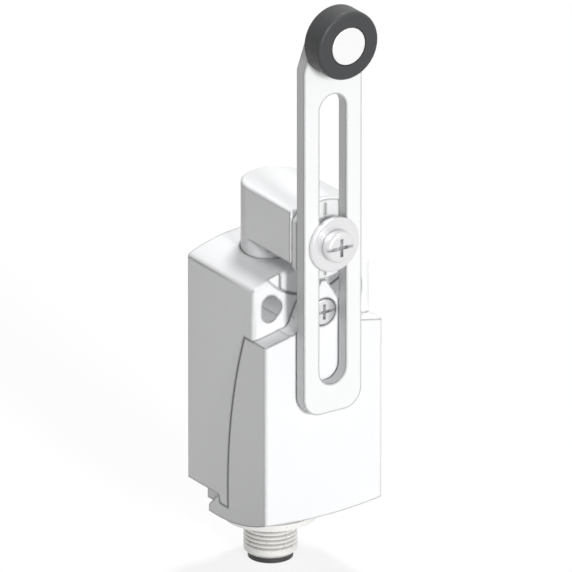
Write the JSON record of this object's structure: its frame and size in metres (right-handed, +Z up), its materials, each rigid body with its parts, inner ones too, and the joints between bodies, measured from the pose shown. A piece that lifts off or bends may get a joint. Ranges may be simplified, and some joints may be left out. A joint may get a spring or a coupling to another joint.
{
  "type": "limit switch",
  "caption": "Compact limit switch with turret head, slotted roller lever, hooked front cover and threaded round plug outlet.",
  "frame": {"origin": "midway between the two fixing slots, on the rear mounting face", "axes": "+Y out of the mounting face, +X to the right seen from the front, +Z up towards the roller"},
  "size_m": [0.031, 0.0402, 0.139],
  "materials": {
    "housing_paint": "satin powder coat",
    "seal_rubber": "matt",
    "screw_steel": "zinc plated",
    "spring_steel": "drawn wire",
    "bearing_brass": "sintered",
    "contact_brass": "polished",
    "cast_zinc": "satin",
    "lever_steel": "fine satin",
    "pin_steel": "satin",
    "roller_plastic": "moulded thermoplastic",
    "white_plastic": "moulded",
    "insert_plastic": "moulded",
    "lid_plastic": "moulded",
    "plug_nickel": "nickel plated",
    "lead_insulation": "extruded"
  },
  "bodies": {
    "housing": {"body_shell": "housing_paint", "front_cover": "housing_paint", "cover_gasket": "seal_rubber", "cover_screw": "screw_steel", "head_housing": "housing_paint", "head_seal": "seal_rubber", "head_lock_pin": "screw_steel", "shaft_bush": "bearing_brass", "shaft_seal": "seal_rubber", "plunger_guide": "insert_plastic", "plunger_spring": "spring_steel", "return_spring": "spring_steel", "contact_block": "insert_plastic", "block_lid": "lid_plastic", "block_screws": "screw_steel", "fixed_contacts": "contact_brass", "terminal_screws": "screw_steel", "plug_shell": "plug_nickel", "plug_insert": "insert_plastic", "plug_pins": "contact_brass", "plug_seal": "seal_rubber", "lead_wires": "lead_insulation"},
    "shaft_set": {"shaft": "screw_steel", "shaft_clip": "spring_steel", "cam": "screw_steel", "cam_pin": "screw_steel", "lever_hub": "cast_zinc", "clamp_washer": "screw_steel", "clamp_screw": "screw_steel"},
    "lever": {"lever_plate": "lever_steel", "roller_pin": "pin_steel", "roller_spacer": "screw_steel"},
    "roller": {"roller_tyre": "roller_plastic", "roller_bush": "bearing_brass"},
    "plunger": {"plunger": "white_plastic"},
    "carriage": {"contact_carriage": "white_plastic", "moving_bridges": "contact_brass", "bridge_springs": "spring_steel"}
  },
  "joints": [
    {"name": "lever_turn", "type": "hinge", "parent": "housing", "child": "shaft_set", "pos_m": [0, -0.0122, 0.01585], "axis": [0, 1, 0], "range_deg": [-70, 70], "stiffness_Nm_per_rad": 0.12},
    {"name": "lever_slide", "type": "slide", "parent": "shaft_set", "child": "lever", "axis": [0, 0, 1], "range_m": [-0.0315, 0.0297]},
    {"name": "roller_spin", "type": "hinge", "parent": "lever", "child": "roller", "pos_m": [0, -0.0373, 0.0643], "axis": [0, 1, 0], "continuous": true},
    {"name": "plunger_push", "type": "slide", "parent": "housing", "child": "plunger", "axis": [0, 0, -1], "range_m": [0, 0.0022], "stiffness_N_per_m": 900, "springref_m": -0.003, "deforming": ["plunger_spring"]},
    {"name": "carriage_push", "type": "slide", "parent": "housing", "child": "carriage", "axis": [0, 0, -1], "range_m": [0, 0.0022], "stiffness_N_per_m": 600, "springref_m": -0.003, "deforming": ["return_spring"]}
  ],
  "couplings": [
    {"joint": "carriage_push", "follows": "plunger_push", "ratio": 1}
  ]
}
